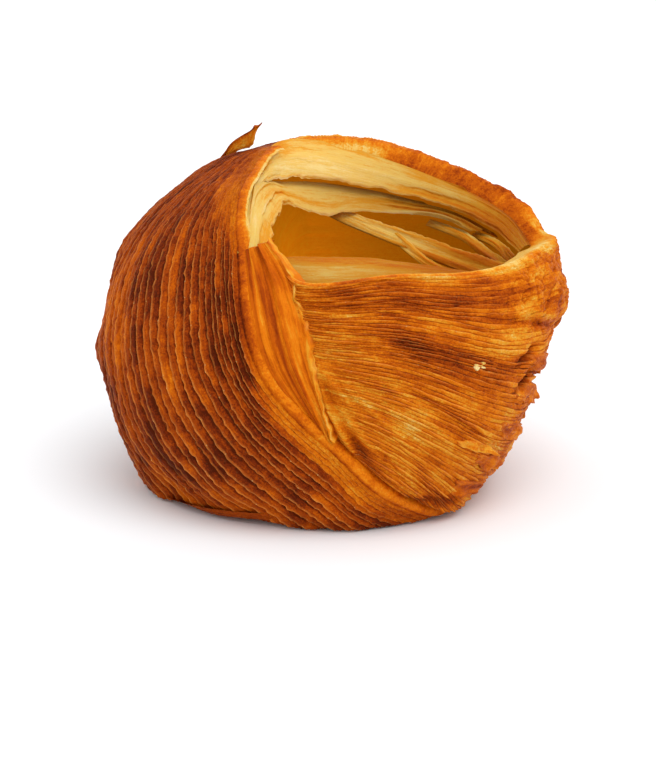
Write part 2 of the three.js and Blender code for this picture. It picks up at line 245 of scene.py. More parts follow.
def fold_swing(travel):
    """Swing of the band's folded front edge."""
    sway = 2.9 * bell(travel - 76, 14)
    return BAND_FOLD - 17 * np.exp((13 - travel) / 10) - sway


STRIP_TOP = 51.6
STRIP_END = 93
STRIP_WIDE = [  # travel, degrees of swing
    (50, 3.8), (53, 4.6), (57, 6.6), (62, 8.6), (68, 9.6), (74, 9.0), (80, 6.6), (86, 3.6), (92, 0.0),
]


def strip_swing(travel):
    """Swing of the pulled strip's right edge."""
    return fold_swing(travel) + np.interp(travel, *zip(*STRIP_WIDE))


# ---- The fan, the right side and the back
LAST_FALL = 150
FAN_END = 360 + BAND_BACK + 8
RIM_END = 118
TEAR_AZIMUTH = -17
TEAR_WANDER = 7
LUMPS = [  # azimuth, fall, half width, half height, amount
    (-4, 78, 13, 12, 1), (0, 97, 22, 6, -1.8), (-10, 125, 16, 7, 1.8),
]


def from_right(azimuth):
    """Azimuth from -180 to 180, with 0 at the right."""
    return np.mod(azimuth + 180, 360) - 180


def fan_fall(azimuth, share):
    """Fall of the line at share of the way down the fan, which run level round the back and the right and
    draw up together at the left."""
    left = -from_right(azimuth)
    drawn = 1 - 0.54 * smooth(left, 20, 108) ** 0.9 * (1 - smooth(left, 125, 170))
    rim = rim_fall(azimuth)
    return rim + (LAST_FALL - rim) * np.maximum(share, 0) * drawn


def tear_at(share):
    """Azimuth at which the fan's front tears off and its back shows."""
    return TEAR_AZIMUTH + TEAR_WANDER * (np.sin(9 * share + 1) + 0.6 * np.sin(31 * share))


def swell(azimuth, fall):
    a, f = np.radians(azimuth), np.radians(fall)
    wide = 0.6 * np.sin(3 * a + np.radians(40)) * np.sin(2.2 * f)
    return wide + 0.4 * np.sin(5 * a + 2.7 * f)


def lump(azimuth, fall):
    return sum(
        h * np.exp(-(((azimuth - a) / w) ** 2) - ((fall - f) / t) ** 2) for a, f, w, t, h in LUMPS
    )


def crossing(share, start, end, beyond):
    """Azimuth between start and end at which the fan's lines pass into beyond."""
    near, far = start + 0 * share, end + 0 * share
    for _ in range(CROSSING_STEPS):
        middle = (near + far) / 2
        direction = heading(middle, fan_fall(middle, share))
        skin = HEART + direction * cast(HEART, direction, in_ball)[..., None]
        past = beyond(*band_place(skin))
        far = np.where(past, middle, far)
        near = np.where(past, near, middle)
    return near


def fan_start(share):
    return crossing(share, -150, 10, lambda swing, travel: swing > strip_swing(travel) - 1.5)


def fan_finish(share):
    around = crossing(share, -40, RIM_END, lambda swing, travel: swing > FAN_END)
    return np.maximum(around, mix(89, 15, smooth(share, 0.6, 1)))


def under_band(swing, travel):
    """How far the fan sinks to pass under the band."""
    over = np.maximum(swing - 360 - BAND_BACK, fold_swing(travel) - swing)
    length = np.radians(over) * AXLE_REACH * np.sin(np.radians(travel))
    at_ends = smooth(travel, 14, 34) * smooth(160 - travel, 0, 12)
    return 4.5 * smooth(length, mix(-3, -0.8, smooth(travel, 86, 97)), 1.5) * at_ends


# ---- Making pieces
def add_grid(name, across, along, points, marks, material):
    """A grid of points, rows running along and columns across, with a float attribute for each mark."""
    rows, columns = points.shape[:2]
    bpy.ops.mesh.primitive_grid_add(x_subdivisions=columns - 1, y_subdivisions=rows - 1, size=1)
    piece = bpy.context.object
    piece.name = piece.data.name = name
    mesh = piece.data
    mesh.vertices.foreach_set("co", ((points + CENTRED) / 1000).astype(np.float32).ravel())
    mesh.update()
    lay = np.stack([across + 0 * along, along + 0 * across], -1).reshape(-1, 2)
    corners = np.empty(len(mesh.loops), np.int32)
    mesh.loops.foreach_get("vertex_index", corners)
    mesh.uv_layers[0].name = "lay"
    mesh.uv_layers[0].data.foreach_set("uv", lay[corners].astype(np.float32).ravel())
    for mark, value in {"crest": 0, "groove": 0, "shade": 1, **marks}.items():
        values = np.broadcast_to(value, (rows, columns)).astype(np.float32).ravel()
        mesh.attributes.new(mark, "FLOAT", "POINT").data.foreach_set("value", values)
    mesh.materials.append(material)
    bpy.ops.object.shade_smooth()
    piece.select_set(False)
    return piece


def face_away(piece, centre):
    """Turns the faces so that they look away from centre."""
    mesh = piece.data
    middles, normals = (np.empty(len(mesh.polygons) * 3, np.float32) for _ in range(2))
    mesh.polygons.foreach_get("center", middles)
    mesh.polygons.foreach_get("normal", normals)
    away = ((middles.reshape(-1, 3) * 1000 - CENTRED - centre) * normals.reshape(-1, 3)).sum(-1)
    if np.sum(np.sign(away)) < 0:
        mesh.flip_normals()
    return piece


def roughened(origin, direction, radius, rough_of):
    """Points at radius from origin, with a roughness that depends on where they lie, and above the table."""
    points = above_table(origin, direction, radius)
    points += direction * rough_of(points)[..., None]
    points[..., 2] = np.maximum(points[..., 2], LIFT)
    return points


def ridge_profile(f):
    """Height across one ridge: a steep little wall up to the crest, a sloping top and a drop to the next."""
    return smooth(f, 0, 0.13) * (1 - 0.25 * f) * (1 - 0.7 * smooth(f, 0.7, 1.04))


def ridge_marks(f, strength):
    """Where a ridge's crest, a pale edge with a painted highlight, and its groove, painted shade, lie."""
    return bell(f - 0.13, 0.1) * np.clip(strength, 0.3, 1), bell(f, 0.05) + smooth(f, 0.84, 1.0)


# ---- Materials
def srgb(r, g, b):
    return tuple(((c / 255 + 0.055) / 1.055) ** 2.4 if c > 10 else c / 3294.6 for c in (r, g, b)) + (1,)


LIGHT_KEPT = 0.84  # share of the ramp's brightness that the dough gives back
TONES = [  # from raw and pale to scorched
    (0.00, srgb(250, 222, 150)), (0.16, srgb(244, 200, 104)), (0.30, srgb(240, 161, 42)),
    (0.44, srgb(231, 124, 13)), (0.58, srgb(204, 95, 6)), (0.72, srgb(168, 68, 6)),
    (0.86, srgb(122, 42, 6)), (1.00, srgb(66, 20, 4)),
]
# Colour of a painted glow: the dough emits it, standing for light that has come through baked dough.
AMBER = (1.0, 0.5, 0.005)  # light that has come through baked dough
# Colour of the ridge crests: the pale raw edge of the dough with a painted highlight.
CREST_PALE_AND_HIGHLIGHT = srgb(238, 154, 74)
PALE_FLECK = srgb(240, 190, 120)
SOAK = (1.0, 0.55, 0.2)  # how far red, green and blue light soak into sheer dough
SOAK_DEPTH = 0.0015
RELIEF_DEPTH = 0.0005


def maths(tree, kind, *values, clamp=False):
    node = tree.nodes.new("ShaderNodeMath")
    node.operation = kind
    node.use_clamp = clamp
    for socket, value in zip(node.inputs, values):
        if isinstance(value, (int, float)):
            socket.default_value = value
        else:
            tree.links.new(value, socket)
    return node.outputs[0]


def noise(tree, place, scale, detail, warp=0.0):
    node = tree.nodes.new("ShaderNodeTexNoise")
    node.inputs["Scale"].default_value = scale
    node.inputs["Detail"].default_value = detail
    node.inputs["Roughness"].default_value = 0.6
    node.inputs["Distortion"].default_value = warp
    tree.links.new(place, node.inputs["Vector"])
    return node.outputs["Fac"]


def stretched(tree, place, x, y):
    node = tree.nodes.new("ShaderNodeMapping")
    node.inputs["Scale"].default_value = (x, y, 1)
    tree.links.new(place, node.inputs["Vector"])
    return node.outputs["Vector"]


def scaled(tree, colour, by):
    node = tree.nodes.new("ShaderNodeVectorMath")
    node.operation = "SCALE"
    if isinstance(colour, tuple):
        node.inputs[0].default_value = colour
    else:
        tree.links.new(colour, node.inputs[0])
    tree.links.new(by, node.inputs["Scale"])
    return node.outputs[0]


def blended(tree, amount, under, colour):
    node = tree.nodes.new("ShaderNodeMix")
    node.data_type = "RGBA"
    node.inputs[7].default_value = colour
    tree.links.new(amount, node.inputs[0])
    tree.links.new(under, node.inputs[6])
    return node.outputs[2]


def tone_ramp(tree, tone):
    node = tree.nodes.new("ShaderNodeValToRGB")
    ramp = node.color_ramp
    ramp.interpolation = "EASE"
    for k, (at, colour) in enumerate(TONES):
        stop = ramp.elements[k] if k < 2 else ramp.elements.new(at)
        stop.position, stop.color = at, colour
    tree.links.new(tone, node.inputs["Fac"])
    return node.outputs["Color"]


def baked_surface():
    """Colour, roughness and relief of baked dough, from how far it is baked and where its ridges are."""
    tree = bpy.data.node_groups.new("baked surface", "ShaderNodeTree")
    for label in ("Place", "Lay"):
        tree.interface.new_socket(label, in_out="INPUT", socket_type="NodeSocketVector")
    for label, value in (("Tone", 0.5), ("Crest", 0.0), ("Groove", 0.0), ("Mottle", 0.2), ("Streak", 0.15),
                         ("Blister", 0.5), ("Fleck", 0.5), ("Shade", 1.0)):
        socket = tree.interface.new_socket(label, in_out="INPUT", socket_type="NodeSocketFloat")
        socket.default_value = value
    for label, kind in (("Colour", "Color"), ("Roughness", "Float"), ("Height", "Float"), ("Glow", "Color")):
        tree.interface.new_socket(label, in_out="OUTPUT", socket_type="NodeSocket" + kind)
    s = tree.nodes.new("NodeGroupInput").outputs
    out = tree.nodes.new("NodeGroupOutput")

    def plus(a, b):
        return maths(tree, "ADD", a, b)

    def times(a, b, *added, clamp=False):
        return maths(tree, "MULTIPLY_ADD" if added else "MULTIPLY", a, b, *added, clamp=clamp)

    broad = noise(tree, s["Place"], 130, 3, warp=0.4)
    small = noise(tree, s["Place"], 620, 4)
    fine = noise(tree, s["Place"], 2200, 2)
    streaks = noise(tree, stretched(tree, s["Lay"], 1.9, 0.16), 1.0, 3, warp=0.3)
    threads = noise(tree, stretched(tree, s["Lay"], 5.0, 0.4), 1.0, 2, warp=0.3)
    mottled = times(broad, 0.9, -0.45)
    mottled = plus(mottled, times(small, 1.4, -0.7))
    mottled = plus(mottled, times(fine, 1.5, -0.75))
    tone = times(mottled, s["Mottle"], s["Tone"])
    streaked = plus(times(streaks, 1.6, -0.8), times(threads, 1.2, -0.6))
    tone = times(streaked, s["Streak"], tone)
    # Painted shade in the grooves, broken up along the streaks.
    groove_shade_patchiness = times(streaks, 1.8, 0.1)
    tone = times(times(s["Groove"], groove_shade_patchiness), 0.2, tone)
    # Along the crests, a pale raw edge of the dough with a painted highlight.
    broken = times(small, 2.2, -0.45, clamp=True)
    pale_and_highlit_edge = times(s["Crest"], broken)
    tone = times(pale_and_highlit_edge, -0.24, tone)
    baked = tone_ramp(tree, maths(tree, "MINIMUM", tone, 0.95, clamp=True))
    edged = blended(tree, times(pale_and_highlit_edge, 0.95, clamp=True), baked, CREST_PALE_AND_HIGHLIGHT)

    cells = tree.nodes.new("ShaderNodeTexVoronoi")
    cells.inputs["Scale"].default_value = 900
    tree.links.new(s["Place"], cells.inputs["Vector"])
    speck = maths(tree, "LESS_THAN", cells.outputs["Distance"], 0.2)
    speck = times(speck, maths(tree, "GREATER_THAN", fine, 0.55))
    near_crest = times(s["Crest"], 1.2, 0.05)
    speck = times(times(speck, near_crest), s["Fleck"], clamp=True)
    flecked = blended(tree, speck, edged, PALE_FLECK)

    bumps = times(times(small, 0.7, times(fine, 0.3)), s["Blister"])
    for label, value in (
        ("Colour", scaled(tree, flecked, times(s["Shade"], LIGHT_KEPT))),
        ("Roughness", times(small, 0.35, 0.33)),
        ("Height", plus(bumps, times(streaked, times(s["Streak"], 2.0)))),
        ("Glow", scaled(tree, AMBER, s["Shade"])),
    ):
        tree.links.new(value, out.inputs[label])
    return tree


BAKED = baked_surface()


def dough(name, mottle, streak, blister, fleck, bump, sheer=0.0, glow=0.0):
    """A finish of baked dough: sheer lets light soak in, and glow is a painted glow for light let through."""
    material = bpy.data.materials.new(name)
    material.use_nodes = True
    tree = material.node_tree
    link = tree.links.new
    shader = tree.nodes["Principled BSDF"].inputs
    surface = tree.nodes.new("ShaderNodeGroup")
    surface.node_tree = BAKED
    for label, value in (("Mottle", mottle), ("Streak", streak), ("Blister", blister), ("Fleck", fleck)):
        surface.inputs[label].default_value = value
    place = tree.nodes.new("ShaderNodeTexCoord")
    link(place.outputs["Object"], surface.inputs["Place"])
    lay = tree.nodes.new("ShaderNodeUVMap")
    lay.uv_map = "lay"
    link(lay.outputs["UV"], surface.inputs["Lay"])
    for label in ("Tone", "Crest", "Groove", "Shade"):
        mark = tree.nodes.new("ShaderNodeAttribute")
        mark.attribute_name = label.lower()
        link(mark.outputs["Fac"], surface.inputs[label])
    link(surface.outputs["Colour"], shader["Base Color"])
    link(surface.outputs["Roughness"], shader["Roughness"])
    relief = tree.nodes.new("ShaderNodeBump")
    relief.inputs["Strength"].default_value = bump
    relief.inputs["Distance"].default_value = RELIEF_DEPTH
    link(surface.outputs["Height"], relief.inputs["Height"])
    link(relief.outputs["Normal"], shader["Normal"])
    shader["Specular IOR Level"].default_value = 0.03
    if glow:
        link(surface.outputs["Glow"], shader["Emission Color"])
        shader["Emission Strength"].default_value = glow
    if sheer:
        shader["Subsurface Weight"].default_value = sheer
        shader["Subsurface Radius"].default_value = SOAK
        shader["Subsurface Scale"].default_value = SOAK_DEPTH
    return material


CRUST = dough("crust", 0.25, 0.17, 1.1, 1.0, 1.0)
PULLED = dough("pulled crust", 0.1, 0.2, 0.3, 0.3, 0.7, sheer=0.1)
# The crumbs glow as painted light: they emit amber, faintly in the pale crumb and strongly in the hollow's
# wall.
CRUMB = dough("pale crumb", 0.06, 0.14, 0.2, 0.0, 0.6, sheer=0.3, glow=0.02)
LIT_CRUMB = dough("crumb that light shines through", 0.08, 0.08, 0.25, 0.0, 0.4, glow=0.15)


# ---- The left band's crust
BAND_PITCH = 2.0  # degrees of swing from ridge to ridge; finer near the fold
BAND_GROOVE = 1.15
BAND_SEAM = 38  # ridge at which the front of the band passes to the back of it
BAND_SAMPLES = np.array([0, 0.06, 0.12, 0.22, 0.38, 0.58, 0.76, 0.9])  # places across one ridge
BACK_TUCK = 3.2
END_ROWS = 9  # over the band's end at the crown
FOLD_SMOOTH = [  # travel, width of the smooth strip along the fold
    (20, 3.5), (35, 5.5), (43, 4), (51, 1.6), (60, 1), (68, 1), (76, 2), (84, 4.5), (100, 5.5), (125, 4),
]
EDGE_COLUMNS = (4, 7, 5)  # across the fold's smooth edge, its roll and its inner face
EDGE_WIDE = 0.9  # degrees of swing that the smooth edge takes up
EDGE_ROLL = 1.1
EDGE_DEEP = 5.5


def patches(p, spots):
    """Sum of soft spots, each (x, y, z, size, amount), at the points p."""
    total = 0
    for x, y, z, size, amount in spots:
        away = ((p - np.array([x, y, z])) ** 2).sum(-1)
        total += amount * np.exp(-away / size**2)
    return total


def oblongs(across, along, spots):
    """Sum of soft oblong spots, each (across, along, half length, half width, turn, amount): places are
    degrees on the ball, the half sizes mm, and turn is the slope of the long side."""
    total = 0
    for a, b, long, wide, turn, amount in spots:
        x, y = (across - a) * MM_A_DEGREE * np.sin(np.radians(along)), (along - b) * MM_A_DEGREE
        c, n = np.cos(np.radians(turn)), np.sin(np.radians(turn))
        total += amount * np.exp(-(((x * c + y * n) / long) ** 2) - ((y * c - x * n) / wide) ** 2)
    return total


# Where the crust swells or sinks from the ball's even form: place, size and amount, mm.
TRIMS = [
    (-57, -1, 44, 8, -1.4), (-57.5, -6, 34, 5, 1.0), (-52.5, 7, 57, 7, 1.1), (-41, 17, 69.5, 8, -0.8),
    (-22, 26.5, 79, 8, -1.8), (10, 28, 80, 11, 0.8), (55, -6, 45, 6, 1.6), (51, 2, 62, 4, 1.3),
    (53, -8, 37, 5, -1.9), (36, 15, 72.5, 6, 0.8), (56, -3, 54.5, 4, -1.2), (-40, -28, 4, 8, -2.2),
    (-31, -33, 1, 7, -1.5), (-20, -41, 2, 7, -1.5), (6, -42, 2, 7, 0.7), (24, -32, 2, 8, 1.7),
]
# How much more or less the band is browned or lit: swing, travel, half length, half width, slope, amount.
BAND_TONES = [
    (-63, 57, 7, 4, 90, -0.17), (-55, 65, 8, 3.5, 98, -0.08), (-43, 74, 9, 6, 105, -0.05),
    (-62, 67, 5, 2.5, 90, 0.1), (-53, 75, 8, 3.5, 105, 0.06), (-48, 83, 9, 4, 105, 0.06),
    (-42, 83, 7, 3, 105, 0.12), (-40, 88, 4, 3, 105, 0.07), (-33, 92, 8, 3.5, 105, 0.11),
    (-34, 84, 4, 2.5, 100, 0.05), (-45, 93, 6, 5, 0, -0.08), (-37, 91, 5, 2, 100, -0.06),
    (-36, 102, 9, 6, 0, -0.05), (-53, 91, 4, 4, 0, -0.08), (-50, 56, 6, 4, 90, 0.09),
    (-55, 82, 7, 5, 0, 0.05), (-37, 46, 5, 2.2, 90, -0.08), (-46, 32, 4, 3, 90, -0.05),
    (-31, 62, 9, 4, 90, 0.05), (-70, 92, 8, 7, 0, -0.06),
]
BAND_SHADES = [(-66, 78, 7, 6, 90, -0.1), (-44, 40, 12, 12, 0, -0.04)]

PITCHES = BAND_PITCH * (0.42 + 0.58 * smooth(np.arange(140), 1, 13))
FROM_FOLD = np.concatenate([[0], np.cumsum(PITCHES)]) + EDGE_WIDE
BAND_RIDGES = int(np.searchsorted(FROM_FOLD, BAND_FOLD - BAND_BACK))


def left_band(name, first, last, samples, rows):
    """The band's ridges from first to last, counted from the fold; the fold's edge goes with 0. flat, roll
    and sunk run across that edge, its roll and its inner face, and over runs up the end at the crown."""
    counted = np.repeat(np.arange(last - 1, first - 1, -1), len(samples))
    level, rolling, inner = EDGE_COLUMNS if first == 0 else (1, 0, 0)
    flat = row(0 * counted, np.linspace(0, 1, level), np.ones(rolling + inner))
    roll = row(0 * counted, np.zeros(level), np.linspace(0, 1, rolling + 1)[1:], np.ones(inner))
    sunk = row(0 * counted, np.zeros(level + rolling), np.linspace(0, 1, inner + 1)[1:])
    part = row(np.tile(samples, last - first), np.ones(level + rolling + inner))
    ridge = row(counted, np.full(level + rolling + inner, first))
    lift = row(np.linspace(0, 1, rows), np.ones(END_ROWS)).T
    over = row(np.zeros(rows), np.linspace(0, 1, END_ROWS + 1)[1:]).T
    dropped = np.maximum(over * 2 - 1, 0)
    travel = mix(BAND_BOTTOM, BAND_TOP, lift)
    length = np.radians(travel) * AXLE_REACH * 1.4

    def line_of(k):
        own = 0.05 * wander(k * 7.3, length / 24, 11)
        quick = 0.035 * beads(k, length, 2.4, 13)
        shared = 0.12 * wander(k * 0.12, length / 44, 12)
        return k + (own + quick + shared) * smooth(k, 0, 3)

    placed = mix(line_of(ridge + 1), line_of(ridge), part)
    swing = BAND_FOLD - np.interp(placed, np.arange(len(FROM_FOLD)), FROM_FOLD) + EDGE_WIDE * flat
    swing += (fold_swing(travel) - BAND_FOLD) * smooth(BAND_FOLD - swing, 60, 0)
    edge = cast(AXLE_MIDDLE, band_heading(fold_swing(travel), travel), in_ball)
    around = edge * np.sin(np.radians(np.clip(travel, 8, 172)))
    from_fold = np.radians(fold_swing(travel) - swing) * around
    calm = np.interp(travel, *zip(*FOLD_SMOOTH))
    calm = 1 - smooth(from_fold / calm, 0.55 + 0.25 * wander(length / 6, ridge, 24), 1.5)
    turn, up_turn = roll * np.pi / 2, np.minimum(over * 2, 1) * np.pi / 2
    swing += np.degrees((EDGE_ROLL * np.sin(turn) - mix(1.9, 2.2, smooth(travel, 52, 44))) / around)
    travel -= np.degrees(1.3 * np.sin(up_turn) / 50)
    direction = band_heading(swing, travel + 0 * swing)
    smooth_radius = cast(AXLE_MIDDLE, direction, in_ball)

    strength = np.clip(0.85 + 0.25 * wander(ridge * 5.1, length / 12, 21), 0.3, 1.15) * (1 - 0.8 * calm)
    bead = 0.13 * beads(ridge, length, 2.2, 22) * bell(part - 0.16, 0.14)
    bead += 0.05 * beads(ridge + np.round(part * 7) / 7, length, 2.6, 23)
    fade = np.sin(np.radians(travel)) * (1 - smooth(travel, 138, BAND_BOTTOM))
    fade = fade * smooth(travel, BAND_TOP, BAND_TOP + 8)
    height = mix(ridge_profile(part) * strength, 0.7, flat) * fade
    radius = smooth_radius - BAND_GROOVE * (1 - height) + bead * fade * (1 - flat)
    radius += patches(AXLE_MIDDLE + direction * smooth_radius[..., None], TRIMS)
    radius -= BACK_TUCK * smooth(swing, BAND_BACK + 4, BAND_BACK)
    in_mouth = smooth(travel, 52, 44)
    radius -= EDGE_ROLL * (1 - np.cos(turn)) * mix(1, 0.5, in_mouth)
    radius -= sunk * EDGE_DEEP * mix(1, 0.14, in_mouth)
    end_deep = mix(0.2, 1, smooth(from_fold, 1, 7))
    radius -= end_deep * (1.3 * (1 - np.cos(up_turn)) + dropped * 1.5)
    points = roughened(
        AXLE_MIDDLE, direction, radius, lambda p: 0.22 * uneven_at(p, 12, 31) + 0.06 * uneven_at(p, 1.5, 32)
    )

    crest, groove = ridge_marks(part, strength)
    seen = fade * (1 - flat)
    inside = np.maximum(sunk, dropped) * smooth(travel, 62, 45)
    tone = 0.77 + oblongs(swing, travel, BAND_TONES)
    tone = tone + 0.06 * wander(ridge * 3.3, length / 12, 41) + 0.03 * uneven_at(points, 5, 42)
    # Each ridge lighter towards its crest and darker towards its groove, by part: painted light and shade.
    tone = tone + 0.1 * (part - 0.5) * seen + 0.035 * wander(ridge * 6.7, length / 2.5, 44)
    golden = mix(0.5, 0.46, smooth(travel, 60, 80)) + 0.05 * wander(from_fold / 2, length / 14, 43)
    tone = mix(tone, golden, calm * (0.85 - 0.5 * smooth(travel, 46, 58) * smooth(travel, 76, 66)))
    tone = mix(tone, mix(0.38, 0.5, smooth(travel, 80, 95)), 0.8 * smooth(roll, 0.2, 0.9))
    tone = mix(tone, 0.14, smooth(inside, 0.02, 0.3))
    shade = 1 + oblongs(swing, travel, BAND_SHADES)
    marks = {"tone": tone, "crest": crest * seen, "groove": groove * seen, "shade": shade}
    return face_away(add_grid(name, placed * 2, length, points, marks, CRUST), AXLE_MIDDLE)


# ---- The fan's crust
FAN_LINES = 70
FAN_PER_SHARE = 63
FAN_COLUMNS = 225
FAN_GROOVE = 0.65
FAN_SAMPLES = np.array([0, 0.09, 0.2, 0.4, 0.62, 0.84])
LIP_COLUMNS = 5
ROLL_COLUMNS = 6
RIM_ROLL = 1.3
LIP_DEEP = 5.0
FAN_DENTS = [  # azimuth, fall, half length, half width, slope, amount
    (-84.4, 107.6, 4.4, 1.2, 58, -1.6), (-62, 124.5, 5, 1, 0, -0.9), (-32.3, 89.3, 3.6, 1.1, -19, -3),
    (-33.2, 95.7, 3, 1, -41, -2.6), (-26, 82.4, 15, 0.8, 15, -1.0), (-26, 80, 15, 1.3, 15, 0.6),
    (-93.4, 92.8, 6, 0.7, 76, 1.2), (-89.2, 103, 6, 0.7, 59, 1.3), (-89.5, 92, 6, 0.8, 50, 0.7),
    (-91, 95, 6, 0.7, 62, -0.8), (-81, 97.5, 11, 0.7, 44, 0.5), (-84, 103.5, 8, 0.7, 52, 0.5),
]
# Spots lying on FAN_DENTS are painted light and shade: dents, slits and holes darker as painted shade,
# the raised creases paler as painted highlight; the other spots are tones of browning.
FAN_TONES = [  # the same, of browning
    (-62, 70, 17, 2.6, 8, 0.16), (-78, 68, 9, 2, 4, 0.06), (-50, 74, 8, 2.2, 14, 0.1),
    (-77, 77.5, 9, 2.2, 28, 0.14), (-68, 81.5, 9, 2.4, 14, 0.2), (-57, 86.5, 9, 2.8, 18, 0.24),
    (-48, 92, 9, 3, 18, 0.15), (-40, 97, 8, 4, 18, 0.01), (-57, 78, 9, 2, 8, -0.1),
    (-45, 82.5, 9, 3.6, 8, -0.15), (-33, 84.5, 7, 4.5, 0, -0.12), (-36, 86.5, 8, 2.6, 8, -0.05),
    (-26, 80.2, 15, 1.1, 15, -0.18), (-26, 82.6, 15, 0.6, 15, 0.15), (-93.4, 92.8, 6, 1.0, 76, -0.12),
    (-89.2, 103, 6, 1.0, 59, -0.12), (-89.5, 92, 6, 0.9, 50, -0.1), (-32.3, 89.3, 3.6, 1.1, -19, 0.6),
    (-33.2, 95.7, 3, 1, -41, 0.6), (-13, 74, 5, 5, 0, 0.08), (-14, 66, 8, 4, -30, -0.12),
    (-26, 71, 6, 1.5, -12, -0.06), (-73, 99, 9, 1.9, 35, -0.18), (-61, 107.5, 9, 2.2, 30, -0.2),
    (-96, 84, 6, 4, 90, -0.14), (-88, 101, 7, 3, 70, -0.1), (-81, 97.5, 11, 0.9, 44, -0.11),
    (-84, 103.5, 8, 0.9, 52, -0.13), (-76, 107, 12, 3, 38, -0.11), (-52, 117, 9, 5, 20, -0.06),
    (-20, 75, 6, 4, 0, -0.05), (-87.5, 108, 3, 3, 0, -0.06), (-63, 124, 3, 1.2, 0, 0.34),
    (-56, 125.5, 3.5, 1.2, 0, 0.4), (-84.4, 107.6, 4.4, 1.2, 58, 0.2),
]
FAN_PALE = 0.37  # tones past these two are drawn back by about half on the front
FAN_DARK = 0.74
RIM_TONES = [(0, 0.28), (12, 0.42), (22, 0.66), (35, 0.54), (50, 0.46), (75, 0.36), (100, 0.28)]

SHARES = np.linspace(0, 1.15, 60)
STARTS = fan_start(SHARES)
FINISHES = fan_finish(SHARES)


def fan_form(azimuth, fall, direction, radius):
    """How far the fan's skin stands out from the ball, and how far it dips where the band covers it."""
    side = from_right(azimuth)
    place = above_table(HEART, direction, radius)
    formed = smooth(LAST_FALL - fall, 4, 14) * (swell(azimuth, fall) + lump(side, fall))
    formed = formed + oblongs(side, fall, FAN_DENTS) + patches(place, TRIMS)
    return formed, under_band(*band_place(place))


def fan_piece(azimuth_of, front):
    """One run of the fan's crust: azimuth_of(share, along, ridge) says where its ends are. rolled and sunk
    run across the rim's roll and down its inner lip."""
    lead = np.zeros(LIP_COLUMNS + ROLL_COLUMNS)
    ridge = row(lead, np.repeat(np.arange(FAN_LINES), len(FAN_SAMPLES)), [FAN_LINES])
    part = row(lead, np.tile(FAN_SAMPLES, FAN_LINES), [0])
    bare = np.zeros(part.size - lead.size)
    rolled = row(np.ones(LIP_COLUMNS), np.linspace(1, 0, ROLL_COLUMNS + 1)[:-1], bare)
    sunk = row(np.linspace(1, 0, LIP_COLUMNS + 1)[:-1], np.zeros(ROLL_COLUMNS), bare)
    along = np.linspace(0, 1, FAN_COLUMNS)[:, None]
    length = mix(-110, 10 if front else 210, along) / 57.3 * 50

    def line_of(k):
        own = 0.16 * wander(k * 7.7, length / 12, 51)
        quick = 0.06 * wander(k * 9.7, length / 1.6, 53)
        shared = 0.4 * wander(k * 0.14, length / 32, 52)
        inside = np.clip(k, 0, 1) * np.clip(FAN_LINES - k, 0, 1)
        return k + inside * (own + quick + shared)

    placed = mix(line_of(ridge), line_of(np.minimum(ridge + 1, FAN_LINES)), part)
    share = np.maximum(placed / FAN_PER_SHARE, 0)
    azimuth = azimuth_of(share, along, ridge)
    turn = rolled * np.pi / 2
    fall = fan_fall(azimuth, share) - np.degrees(RIM_ROLL * np.sin(turn) / 55)
    direction = heading(azimuth, fall)
    smooth_radius = cast(HEART, direction, in_ball)
    formed, buried = fan_form(azimuth, fall, direction, smooth_radius)
    side = from_right(azimuth)
    fade = smooth(LAST_FALL - fall, 4, 14)
    varied = mix(0.3, 0.52, smooth(side, 40, 0)) * wander(ridge * 5.3, length / 7, 61)
    strength = 0.7 - 0.22 * smooth(share, 0.3, 0.45) + varied
    shoulder = smooth(side, -52, -28) * smooth(side, 80, 35) * smooth(share, 0.3, 0.16)
    pulled = oblongs(side, fall, [(-90.5, 98, 13, 4.5, 64, 1)])
    strength = np.clip(strength, 0.1, 1.15) * (1 - 0.9 * np.maximum(shoulder, pulled))
    bead = 0.1 * beads(ridge, length, 2.2, 62) * bell(part - 0.18, 0.16)
    height = ridge_profile(part) * strength * fade
    radius = smooth_radius - FAN_GROOVE * (1 - height) + bead * fade + formed - buried
    deep = LIP_DEEP + 2.5 * smooth(side, 0, 20) * smooth(side, 75, 50) - 2 * smooth(side, 70, 85)
    radius = radius - RIM_ROLL * (1 - np.cos(turn)) - sunk * deep
    return SimpleNamespace(
        side=side, fall=fall, share=share, ridge=ridge, part=part, placed=placed, direction=direction,
        radius=radius, length=length, rolled=rolled, sunk=sunk, fade=fade, strength=strength, along=along,
        shoulder=shoulder * (1 - smooth(sunk, 0, 0.3)), pulled=pulled,
    )


def fan_tone(p, d):
    side = d.side
    tone = 0.505 + oblongs(side, d.fall, FAN_TONES) - 0.12 * d.rolled
    front = smooth(side, 30, 0) * smooth(side, -120, -80)
    own = mix(0.035, 0.07, front) * wander(d.ridge * 3.3, d.length / 9, 81)
    tone = tone + own + 0.05 * uneven_at(p, 6, 82)
    tone += 0.02 * wander(d.ridge * 7.9, d.length / 2.5, 84) * front
    tone -= 0.55 * front * (np.maximum(tone - FAN_DARK, 0) - np.maximum(FAN_PALE - tone, 0))
    tone -= 0.2 * front * smooth(d.share, 0.03, 0)
    rim_tone = np.interp(side, *zip(*RIM_TONES))
    tone = mix(tone, rim_tone, smooth(side, 0, 25) * smooth(d.share - 0.2 * d.rolled, 0.03, 0))
    browning = 0.6 + 0.05 * uneven_at(p, 3, 83) + 0.2 * smooth(d.sunk, 0.5, 0.9)
    lip = mix(0.2, browning, smooth(side, -5, 12) * smooth(side, 72, 52))
    return mix(tone, lip, smooth(d.sunk, 0.02, 0.25))


